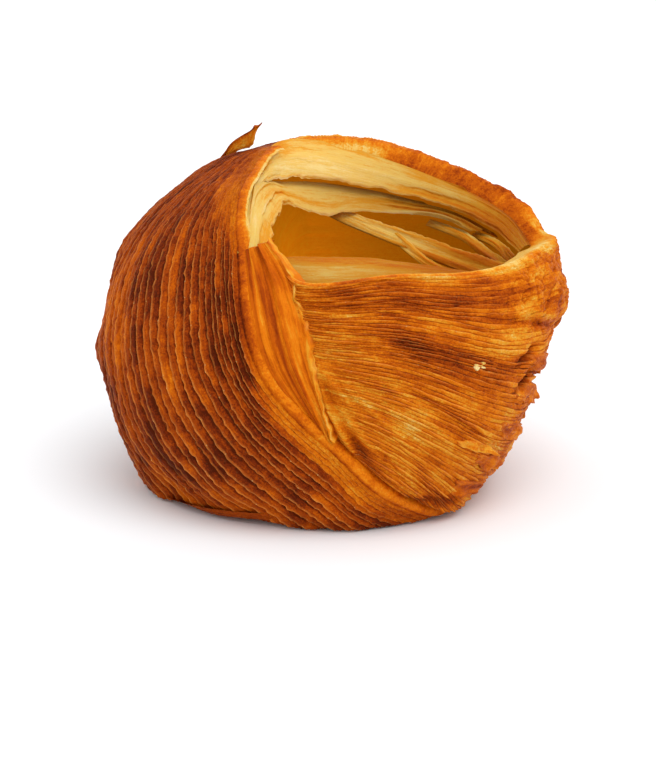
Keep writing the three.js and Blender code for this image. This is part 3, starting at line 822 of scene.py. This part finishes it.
def finish_fan(name, d):
    def creases_at(p):
        return (bell(uneven_at(p, 4.5, 74), 0.13) + 0.7 * bell(uneven_at(p, 2.2, 75), 0.13)) * d.shoulder

    def rough_of(p):
        rough = 0.25 * uneven_at(p, 11, 71) + 0.07 * uneven_at(p, 1.5, 72)
        torn = 0.3 * uneven_at(p, 3.5, 73) + 0.12 * uneven_at(p, 1.2, 76)
        return rough + d.shoulder * torn - 0.4 * creases_at(p)

    smooth_points = above_table(HEART, d.direction, d.radius)
    points = roughened(HEART, d.direction, d.radius, rough_of)
    crest, groove = ridge_marks(d.part, d.strength)
    seen = (1 - d.rolled) * d.fade * (1 - 0.8 * np.maximum(d.shoulder, d.pulled))
    # The shoulder's creases darker: painted shade.
    tone = fan_tone(points, d) + 0.13 * creases_at(smooth_points)
    marks = {"tone": tone, "crest": 0.55 * crest * seen, "groove": groove * seen}
    return face_away(add_grid(name, d.placed * 1.2, d.length, points, marks, CRUST), HEART)


def fan_front():
    """From under the strip to the ragged tear at the right."""
    def azimuth_of(share, along, ridge):
        ragged = 1.5 * wander(ridge * 1.9, 0, 91) + 0.6 * wander(ridge * 6.1, 0, 92)
        end = tear_at(share) + ragged * smooth(share, 0.06, 0.14) + 6 * (1 - smooth(share, 0.0, 0.1))
        return mix(np.interp(share, SHARES, STARTS), end, along)

    d = fan_piece(azimuth_of, True)
    tuck = 1.4 * (1 - smooth(d.along, 0, 0.06))
    curl = 0.66 * smooth(d.along, 0.995, 1.0) * d.fade
    shrunk = 1.2 * smooth(d.along, 0.86, 1) * smooth(d.share, 0.3, 0.18)
    d.radius = d.radius - tuck - curl - shrunk
    return finish_fan("fan_front", d)


def fan_back():
    """From under the tear at the right, round the back, to under the band."""
    def azimuth_of(share, along, ridge):
        return mix(-30, np.interp(share, SHARES, FINISHES), along)

    d = fan_piece(azimuth_of, False)
    torn = 1.7 * np.sin(np.pi * np.clip(d.share, 0, 1)) * smooth(d.share, 0.14, 0.32)
    hidden = 1 - smooth(d.side, tear_at(d.share) - 6, tear_at(d.share) + 3)
    tuck = 3.5 * smooth(d.along, 0.95, 1) + 0.8 * smooth(d.along, 0.9, 0.96)
    d.radius = d.radius - torn - hidden * 0.8 - tuck * smooth(d.share, 0.3, 0.1)
    return finish_fan("fan_back", d)


# ---- The strip pulled out beside the fold
STRIP_LIP = 0.95  # place of the raised right edge, as a share of the strip's width


def pulled_strip():
    across = np.linspace(0, 1, 60)[None, :]
    along = np.linspace(0, 1, 160)[:, None]
    travel = mix(STRIP_END, STRIP_TOP, along)
    swing = mix(fold_swing(travel) - 2, strip_swing(travel), across)
    ragged = 0.35 * wander(travel / 5, 0, 106) + 0.25 * wander(travel / 1.2, 0, 107)
    swing += ragged * smooth(travel, 52, 56) * smooth(across, 0.8, 1)
    cut = np.clip((along - 0.97) / 0.03, 0, 1) * smooth(across, 1, 0.9)
    direction = band_heading(swing, travel + 0 * swing)
    smooth_radius = cast(AXLE_MIDDLE, direction, in_ball)
    depth = mix(1.9, 1.0, smooth(across, 0.3, 1)) - 0.8 * np.sin(np.pi * across)
    length = travel / 57.3 * AXLE_REACH
    streak = 0.28 * wander(across * 11, length / 20, 101) + 0.16 * wander(across * 30, length / 14, 102)
    frayed = 0.65 + 0.5 * wander(length / 3, 0, 104) + 0.5 * wander(length / 1.1, 0, 109)
    lip = 0.35 * np.clip(frayed, 0.1, 1.3) * smooth(along, 0, 0.25) * bell(across - STRIP_LIP, 0.035)
    drop = np.maximum(mix(1.2, 4, smooth(travel, 56, 64)) * smooth(across, 0.97, 1.0), 4 * cut)
    points = AXLE_MIDDLE + direction * (smooth_radius - depth + streak + lip - drop)[..., None]

    tone = mix(0.59, 0.545, smooth(along, 0.65, 0.9)) - 0.09 * smooth(along, 0.4, 0)
    tone = tone + 0.065 * wander(across * 13, length / 20, 103)
    scaly = 0.5 * wander(across * 12, length / 5, 105) + 0.3 * wander(across * 16, length / 1.5, 108)
    scaly = np.clip(0.75 + scaly, 0, 1.2)
    threads = 0.05 * wander(across * 40, length / 8, 110)
    tone = tone + threads - 0.17 * scaly * smooth(across, mix(0.5, 0.8, smooth(along, 0.6, 0.95)), 0.9)
    tone -= 0.1 * bell(across, 0.12)
    tone = mix(tone, mix(0.36, 0.47, smooth(travel, 56, 64)), smooth(across, 0.965, 0.985))
    marks = {"tone": tone, "crest": lip}
    return face_away(add_grid("pulled_strip", across * 12, length, points, marks, PULLED), AXLE_MIDDLE)


# ---- The wall of the hollow
def inner_wall():
    azimuth = np.linspace(0, 360, 241)[:, None]
    down = np.linspace(0, 1, 120)[None, :]
    rim = rim_fall(azimuth) + 1.5
    fall = mix(rim, 180, down)
    direction = heading(azimuth, fall)
    ball = cast(HEART, direction, in_ball)
    shell = ball - layer_thick(fall - rim + 1.5) - 0.4
    radius = np.minimum(cast(HEART, direction, in_hollow), shell)
    tucked = smooth(azimuth, 178, 194) * smooth(azimuth, 252, 242) * smooth(fall - rim, 5, 0.5)
    layers = 0.5 * wander(azimuth / 30, fall / 4, 111) + 0.35 * wander(azimuth / 16, fall / 1.7, 112)
    radius = mix(radius + layers * smooth(180 - fall, 5, 60), ball - 2, tucked)
    points = HEART + direction * radius[..., None]
    tone = 0.36 + patches(points, [(40, 14, 50, 26, 0.12)]) + 0.03 * layers
    shade = 0.84 + patches(points, [(30, 20, 50, 26, -0.2), (-14, 34, 40, 20, 0.7)])
    marks = {"tone": tone, "shade": shade}
    piece = face_away(add_grid("inner_wall", fall, azimuth * 0.8, points, marks, LIT_CRUMB), HEART)
    piece.data.flip_normals()
    return piece


# ---- Sheets, webs and the loose flake
def curve_points(points, at):
    """Points at shares of the length of a smooth curve through points."""
    p = np.array(points, float)
    ends = np.vstack([2 * p[0] - p[1], p, 2 * p[-1] - p[-2]])
    t = np.linspace(0, 1, 24, endpoint=False)[:, None]
    runs = []
    for k in range(len(p) - 1):
        a, b, c, d = ends[k : k + 4]
        run = 2 * b + (c - a) * t + (2 * a - 5 * b + 4 * c - d) * t**2
        runs.append(0.5 * (run + (3 * b - a - 3 * c + d) * t**3))
    line = np.vstack(runs + [p[-1:]])
    walked = np.concatenate([[0], np.cumsum(np.linalg.norm(np.diff(line, axis=0), axis=1))])
    return np.stack([np.interp(at * walked[-1], walked, line[:, i]) for i in range(3)], -1)


def thin_sheet(name, root, edge, thick, seed, ragged, tone, tone_root, shade=(1, 1), root_shade=0.8, spots=(),
               bulge=0, columns=220, rows=70, wrinkle=0.2, grain=(4, 26), layers=0, material=CRUMB):
    """A sheet of dough from a root line to a free edge, with both faces and its rims. grain is the length
    of its wrinkles across and along, layers how many leaves lap over each other down its front."""
    u = np.linspace(0, 1, columns)[None, :]
    v = row(np.linspace(0, 1, rows), np.linspace(1, 0, rows)).T
    face = np.repeat([1.0, -1.0], rows)[:, None]
    root_line, edge_line = curve_points(root, u[0]), curve_points(edge, u[0])
    span = np.linalg.norm(edge_line - root_line, axis=-1).mean()
    walk = np.linalg.norm(np.diff(edge_line, axis=0), axis=1).sum()
    torn = 1 + ragged * (wander(u * walk / 3, 0, seed) + 0.5 * wander(u * walk / 0.9, 0, seed + 1))
    down = v * torn
    points = root_line[None] + (edge_line - root_line)[None] * down[..., None]
    points[..., 2] += bulge * np.sin(np.pi * v)
    normal = unit(np.cross(np.gradient(points[:rows], axis=1), np.gradient(points[:rows], axis=0)) + 1e-9)
    normal = np.vstack([normal, normal[::-1]])
    length, depth = u * walk, down * span
    wave = wander(length / grain[1], depth / grain[0], seed + 2)
    small = wander(length / (grain[1] * 0.5), depth / (grain[0] * 0.35), seed + 3)
    front = np.sign(-normal[:rows, :, 1].mean())
    count = v * layers + 0.16 * wander(length / 18, 0, seed + 5)
    count = count + 0.03 * wander(length / 3.5, 0, seed + 6)
    lap = np.mod(count, 1) if layers else 0 * v * u
    own = np.clip(0.45 + 0.8 * wander(length / 14, np.floor(count) * 3.7, seed + 7), 0.1, 1.2)
    step = 0.55 * own * smooth(lap, 0, 0.85) * (1 - smooth(lap, 0.96, 1))
    ends = np.minimum(1, 0.15 + 8 * np.minimum(u, 1 - u))
    half = thick / 2 * mix(1, 0.35, v) * ends * (1 - smooth(v, 0.96, 1))
    raised = face * half + front * step + wrinkle * wave + 0.4 * wrinkle * small
    points += normal * raised[..., None]

    # The deeper tone towards the root is partly painted shade, where the sheet meets the wall.
    tone = mix(tone_root, tone, smooth(v, 0, 0.5)) + 0.06 * wave + 0.04 * small + patches(points, spots)
    crest = smooth(v, 0.9, 1) * 0.5
    # Painted shade in the hollows of the wrinkles.
    groove = np.clip(-small * 0.4 - wave * 0.3, 0, 1) * 0.4
    if layers:
        # Painted highlight along each leaf's edge, and painted shade under its step.
        crest = crest + 0.35 * own * bell(lap - 0.86, 0.07)
        groove = groove + 0.6 * own * (bell(lap, 0.09) + smooth(lap, 0.95, 1))
    light = mix(*shade, smooth(u, 0.3, 1)) * mix(root_shade, 1, smooth(v, 0, 0.45))
    marks = {"tone": tone, "crest": crest, "groove": groove, "shade": light}
    return add_grid(name, depth, length, points, marks, material)


SHEETS = {
    "upper_sheet": dict(
        root=[(-19, 2, 77.6), (-17, 10, 79.4), (-14, 18.5, 80.3), (-10, 24.5, 79.9), (-4, 26.8, 79),
              (3, 27, 77.6), (15, 23.2, 74.2), (28.5, 16.6, 70), (37, 12.2, 66.6), (43.5, 7.2, 62.6),
              (47.5, 1, 58.2)],
        edge=[(-21.5, -14, 73), (-19.2, -8.5, 73.6), (-16.3, -1, 74.4), (-13, 7, 73.4), (-6, 16, 71.8),
              (3, 19, 70), (13, 17, 68.5), (24, 12.5, 66.5), (33, 7.5, 64), (39.5, 2.5, 61), (44, -4, 57.5)],
        thick=1.4, bulge=0.6, seed=201, ragged=0.02, wrinkle=0.12, layers=3,
        tone=0.15, tone_root=0.18, shade=(0.94, 0.48), root_shade=0.97,
        spots=[(24, 20, 73, 6, 0.1), (-18.5, 1, 78.5, 4, 0.16), (-14, 16, 80.5, 4, 0.12),
               (42, 4, 62, 16, 0.26)],
    ),
    "lower_sheet": dict(
        root=[(-22.3, -32, 63.6), (-22.1, -23.5, 69), (-21.6, -16.5, 72.3), (-20.2, -8.5, 75), (-18, 0, 74),
              (-13.5, 11, 71.4), (-6, 20, 69.6), (3, 23, 67.8), (13, 21, 66.3), (24, 16.5, 64.2),
              (33, 11.5, 61.8), (40, 6, 59)],
        edge=[(-15, -29.6, 63.4), (-14.4, -18.5, 66.3), (-13.2, -9, 67.8), (-11.8, -2, 68.8),
              (-8.6, 4, 66.9), (-5.2, 9, 64.6), (-1, 12, 63.3), (4, 13.6, 64), (14, 13, 63.6),
              (25.5, 9.5, 63), (33, 4.5, 60.8)],
        thick=1.2, bulge=0.6, seed=221, ragged=0.03, wrinkle=0.12, layers=3,
        tone=0.15, tone_root=0.2, shade=(0.9, 0.42), root_shade=0.96,
        spots=[(40, 6, 60, 14, 0.26), (-22, -27, 68, 4, 0.1), (-13, -16, 67, 9, -0.12)],
    ),
    "front_ledge": dict(
        root=[(-20, -34, 56), (-6, -39, 55.5), (12, -37, 55.5), (28, -32, 55), (38, -26.5, 55)],
        edge=[(-15, -24, 60.3), (-6, -22, 60), (9, -20, 59.3), (22, -22, 58.2), (34, -28, 57.4)],
        thick=2.2, bulge=1, seed=241, ragged=0.008,
        tone=0.22, tone_root=0.28, shade=(0.68, 0.5), spots=[(26, -26, 57, 16, 0.24)],
    ),
    "crown_flake": dict(
        root=[(-30.5, 25, 73.5), (-28.6, 24, 75.8), (-25.9, 21, 79.8), (-23.6, 19, 81.8), (-21.3, 17, 83.4),
              (-19.5, 16, 84.7), (-18, 15, 85.8)],
        edge=[(-28.5, 24.5, 73), (-26.9, 24, 75.5), (-24.7, 21, 77.5), (-22.4, 19, 78.6), (-20.4, 17, 80.1),
              (-19.6, 16, 83.4), (-18.1, 15, 85.6)],
        thick=0.8, bulge=0.3, seed=261, ragged=0.05, wrinkle=0.15, grain=(1.5, 12), columns=120, rows=30,
        tone=0.4, tone_root=0.7, root_shade=1, material=CRUST,
    ),
}
WEBS = [  # middle line, width at each end, shade
    ([(-3, 19, 64), (4, 13.5, 62.2), (11, 7.5, 60.6), (19, 1, 58.8), (28, -7, 57), (38, -19, 56)],
     (3.2, 6), 0.5),
    ([(14, 6, 60), (18.5, -2, 57.5), (23, -12, 56), (28, -23, 56)], (2.6, 2.2), 0.5),
    ([(23, 14, 61.4), (31, 5, 60), (36, -5, 57.8), (40, -14, 56)], (2.2, 3.4), 0.4),
    ([(34, 9, 59.4), (39, 0, 58.8), (42, -10, 56.8)], (2, 3), 0.4),
]
WEB_LEAN = np.array([0.55, 0.55, 0.63])  # the way across a web


def web(number, line, widths, shade):
    share = np.arange(len(line)) / (len(line) - 1)
    half = mix(*widths, share)[:, None] / 2 * WEB_LEAN
    return thin_sheet(
        f"web_{number}", line - half, line + half, 0.7, 300 + 10 * number, ragged=0.03, tone=0.2,
        tone_root=0.26, shade=(shade + 0.3, shade), root_shade=0.85, spots=[(36, -12, 57, 16, 0.2)],
        columns=140, rows=20, grain=(1.2, 20),
    )


# ---- Plates of crust
# Smooth flaked patches and torn layers that stand a little proud of the fan: azimuth and fall of the
# middle, half length and half height in mm, turn in degrees, lift, curl of the far end, tone.
PLATES = [
    (-24, 93, 8, 2.6, 16, 0.2, 0.9, 0.57), (-28, 101, 9, 2.8, 20, 0.2, 1.1, 0.6),
    (-33, 110, 9, 2.6, 24, 0.2, 1.1, 0.55), (-39, 118, 8, 2.4, 24, 0.2, 0.9, 0.6),
    (-46, 124, 8, 2.2, 18, 0.2, 0.7, 0.6), (-49, 110.5, 7, 1.1, 22, 0.4, 1.1, 0.34),
    (8, 90, 11, 5.0, -6, 0.2, 0.6, 0.55), (-4, 98, 9, 4.0, 12, 0.2, 0.9, 0.58),
    (-8, 110, 9, 4.0, 14, 0.2, 0.9, 0.6), (-51, 88.5, 1.3, 1.0, 20, 0.7, 0.5, 0.04),
]
PLATE_REACH = 52  # mm from the heart to the crust under the plates
PLATE_EDGE = 0.86


def plate(number, azimuth, fall, half_long, half_high, turn, lift, curl, tone):
    seed = 400 + 10 * number
    long, high = np.meshgrid(np.linspace(-1.25, 1.25, 90), np.linspace(-1.35, 1.35, 44))
    x, y = long * half_long, high * half_high
    round_it = np.arctan2(high, long) * 2
    ragged = (0.1 if half_long > 2 else 0.28) * uneven(np.cos(round_it), np.sin(round_it), long, 1.0, seed)
    ragged += 0.05 * wander(x / 2.2, y / 1.2, seed + 1)
    out = (np.abs(long) ** 2.4 + np.abs(high) ** 2.4) ** (1 / 2.4) + ragged
    c, s = np.cos(np.radians(turn)), np.sin(np.radians(turn))
    azimuth = azimuth + np.degrees((x * c - y * s) / (PLATE_REACH * np.sin(np.radians(fall))))
    fall = fall + np.degrees((x * s + y * c) / PLATE_REACH)
    direction = heading(azimuth, fall)
    skin = cast(HEART, direction, in_ball)
    skin += fan_form(azimuth, fall, direction, skin)[0]
    on = 1 - smooth(out, PLATE_EDGE, 1.0)
    far = smooth(long, 0.2, 1.0)
    ribs = 0.16 * wander(x / 9, y / 1.3, seed + 2) + 0.3 * wander(x / 3.5, y / 2.5, seed + 3)
    radius = skin - 1.6 + on * (1.35 + lift + ribs + curl * far**2) - 0.5 * smooth(out, 1.0, 1.3)
    points = above_table(HEART, direction, radius)
    # Darker round the plate, where its edge tucks under: painted shade.
    tone = tone + 0.08 * wander(x / 10, y / 1.2, seed + 4) + 0.14 * (1 - on)
    marks = {"tone": tone, "crest": 0.3 * bell(out - PLATE_EDGE, 0.07), "groove": (1 - on) * 0.4}
    return face_away(add_grid(f"plate_{number}", y, x, points, marks, CRUST), HEART)


# ---- Underside
def underside():
    azimuth = np.linspace(0, 360, 121)[:, None]
    inward = np.linspace(0, 1, 24)[None, :]
    raised = smooth(azimuth, 5, 25) * smooth(azimuth, 110, 80)
    fall = mix(128 - 16 * raised, 180, inward)
    direction = heading(azimuth, fall)
    tucked = (1.2 + 2.6 * raised) * (1 - smooth(inward, 0.12 * raised, 0.3 + 0.1 * raised))
    points = above_table(HEART, direction, cast(HEART, direction, in_ball) - tucked)
    points[..., 2] = np.maximum(points[..., 2] - 0.4 * smooth(inward, 0.3, 0.5), 0.0)
    return face_away(add_grid("underside", fall, azimuth, points, {"tone": 0.72}, CRUST), HEART)


# ---- All the pieces
pieces = [
    left_band("band_front", 0, BAND_SEAM, BAND_SAMPLES, 250),
    left_band("band_back", BAND_SEAM, BAND_RIDGES, BAND_SAMPLES[[0, 1, 2, 4, 6]], 170),
    fan_front(), fan_back(), pulled_strip(), inner_wall(), underside(),
    *[thin_sheet(name, **sizes) for name, sizes in SHEETS.items()],
    *[web(k + 1, *sizes) for k, sizes in enumerate(WEBS)],
    *[plate(k + 1, *sizes) for k, sizes in enumerate(PLATES)],
]
for piece in pieces:
    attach(piece, "root")
    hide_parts("pastry")


# ---- Floor, light and camera
FLOOR_WHITE = (0.895, 0.912, 0.93, 1)
WORLD_STRENGTH = 0.98
SUN_ENERGY = 1.25
SUN_SPREAD = math.radians(50)
SUN_FROM = Vector((0.3, -0.45, 1))
AIM = Vector((-0.0011, -0.00132, 0.0244))
ELEVATION = math.radians(16)
DISTANCE = 0.521

bpy.ops.mesh.primitive_plane_add(size=6, location=(0, 0, 0))
floor = bpy.context.object
floor.name = "floor"
white = bpy.data.materials.new("floor white")
white.use_nodes = True
surface = white.node_tree.nodes["Principled BSDF"].inputs
surface["Base Color"].default_value = FLOOR_WHITE
surface["Roughness"].default_value = 0.9
surface["Specular IOR Level"].default_value = 0.1
floor.data.materials.append(white)

world = bpy.data.worlds.new("studio")
bpy.context.scene.world = world
world.use_nodes = True
background = world.node_tree.nodes["Background"].inputs
background["Color"].default_value = (1, 1, 1, 1)
background["Strength"].default_value = WORLD_STRENGTH

bpy.ops.object.light_add(type="SUN", location=(0.3, -0.3, 1))
sun = bpy.context.object
sun.name = "soft overhead light"
sun.data.energy = SUN_ENERGY
sun.data.angle = SUN_SPREAD
sun.rotation_euler = (-SUN_FROM).to_track_quat("-Z", "Y").to_euler()

bpy.ops.object.camera_add(location=AIM + DISTANCE * Vector((0, -math.cos(ELEVATION), math.sin(ELEVATION))))
camera = bpy.context.object
camera.rotation_euler = (math.pi / 2 - ELEVATION, 0, 0)
camera.data.lens = 100
camera.data.sensor_width = 36
camera.data.clip_end = 20
bpy.context.scene.camera = camera
bpy.context.scene.view_settings.view_transform = "Standard"
